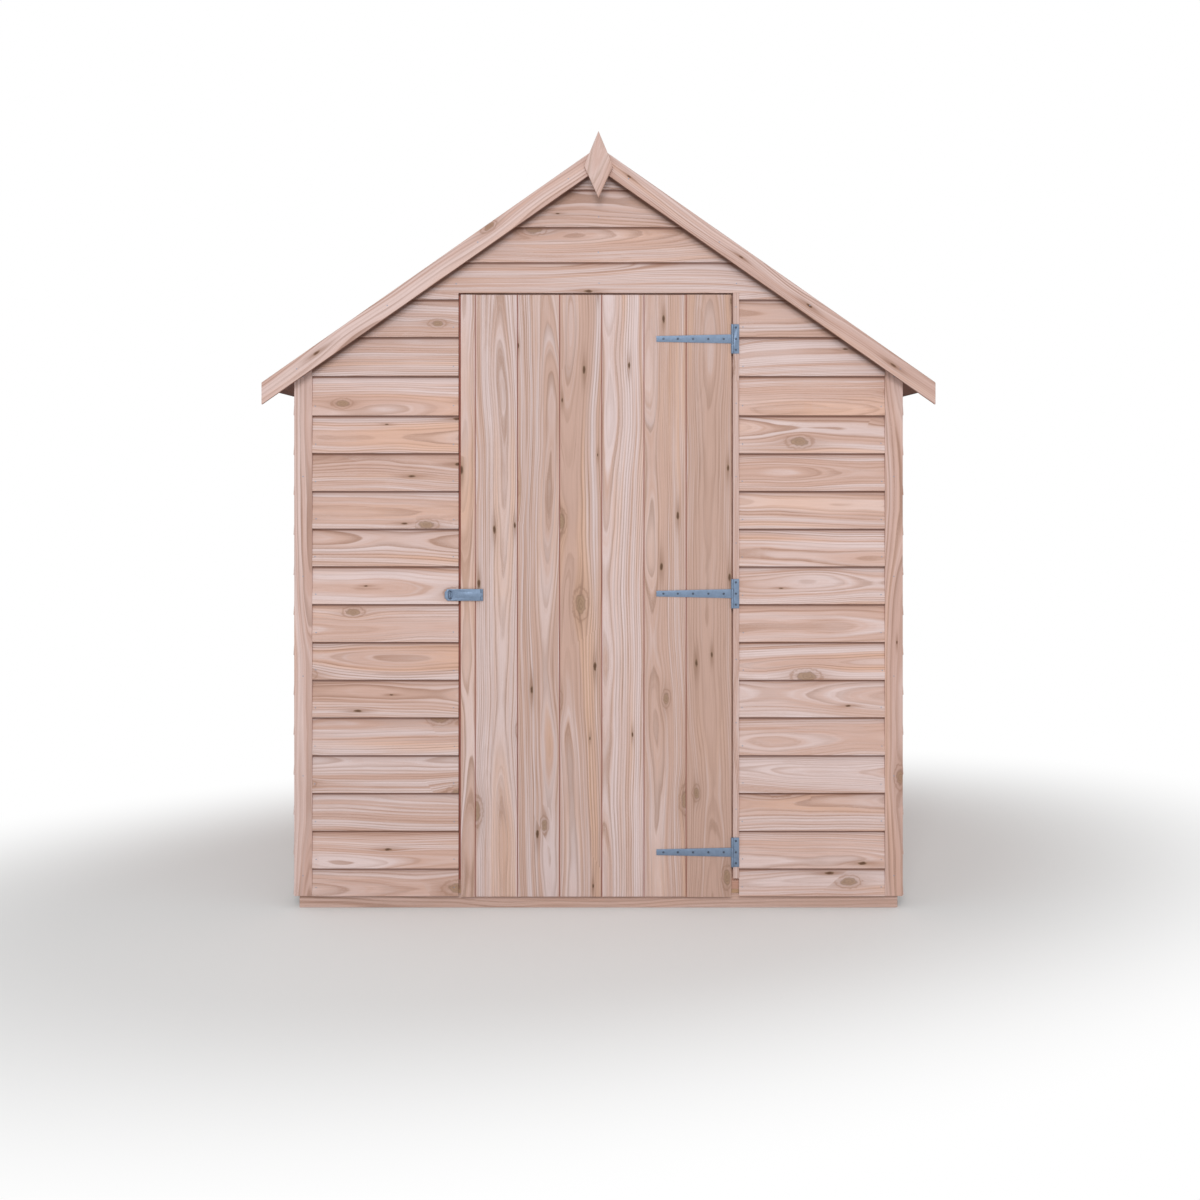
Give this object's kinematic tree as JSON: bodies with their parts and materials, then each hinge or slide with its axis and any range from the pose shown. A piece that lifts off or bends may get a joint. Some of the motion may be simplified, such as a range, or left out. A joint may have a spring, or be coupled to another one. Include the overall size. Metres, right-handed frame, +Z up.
{
  "type": "garden shed",
  "caption": "Wooden apex garden shed with lapped wall boards, a felted roof and a boarded door on T hinges with a hasp.",
  "frame": {"origin": "on the ground under the middle of the shed", "axes": "+Z up; the door is in the -Y gable; +Y runs along the ridge to the back; +X is the door's hinge side"},
  "size_m": [2.01, 2.554, 2.3271],
  "materials": {
    "wall_boards": "sawn softwood, dip treated pinkish tan",
    "trim_boards": "planed softwood, pinkish tan",
    "door_timber": "planed softwood, pinkish tan",
    "frame_timber": "sawn softwood",
    "roof_boards": "sawn board, dark below",
    "floor_board": "sawn board",
    "bearer_timber": "rough sawn softwood",
    "roofing_felt": "bitumen felt with mineral grit",
    "galvanised_steel": "dull zinc plating, bluish"
  },
  "bodies": {
    "shed": {"back_bargeboard_left": "trim_boards", "back_bargeboard_right": "trim_boards", "back_boarding": "wall_boards", "back_corner_trims": "trim_boards", "back_finial": "trim_boards", "back_king_post": "frame_timber", "back_posts": "frame_timber", "back_rafters": "frame_timber", "back_sill": "frame_timber", "door_head": "frame_timber", "floor_bearers": "bearer_timber", "floor_panel": "floor_board", "front_bargeboard_left": "trim_boards", "front_bargeboard_right": "trim_boards", "front_boarding_gable": "wall_boards", "front_boarding_left": "wall_boards", "front_boarding_right": "wall_boards", "front_corner_trims": "trim_boards", "front_finial": "trim_boards", "front_king_post": "frame_timber", "front_posts": "frame_timber", "front_rafters": "frame_timber", "front_sill": "frame_timber", "hasp_staple": "galvanised_steel", "hinge_plates": "galvanised_steel", "hinge_strip": "trim_boards", "left_boarding": "wall_boards", "left_studs": "frame_timber", "purlins": "frame_timber", "ridge_board": "frame_timber", "ridge_felt": "roofing_felt", "right_boarding": "wall_boards", "right_studs": "frame_timber", "roof_boarding_left": "roof_boards", "roof_boarding_right": "roof_boards", "roof_felt_left": "roofing_felt", "roof_felt_right": "roofing_felt", "side_sills": "frame_timber", "wall_plates": "frame_timber"},
    "door": {"door_boards": "door_timber", "door_ledges": "door_timber", "door_braces": "door_timber", "hinge_straps": "galvanised_steel", "hasp_leaf": "galvanised_steel"},
    "hasp": {"hasp_strap": "galvanised_steel"}
  },
  "joints": [
    {"name": "door_hinge", "type": "hinge", "parent": "shed", "child": "door", "pos_m": [0.402, -1.223, 0.948], "axis": [0, 0, 1], "range_deg": [0, 160]},
    {"name": "hasp_hinge", "type": "hinge", "parent": "door", "child": "hasp", "pos_m": [-0.35, -1.2225, 0.9445], "axis": [0, 0, 1], "range_deg": [0, 165]}
  ]
}
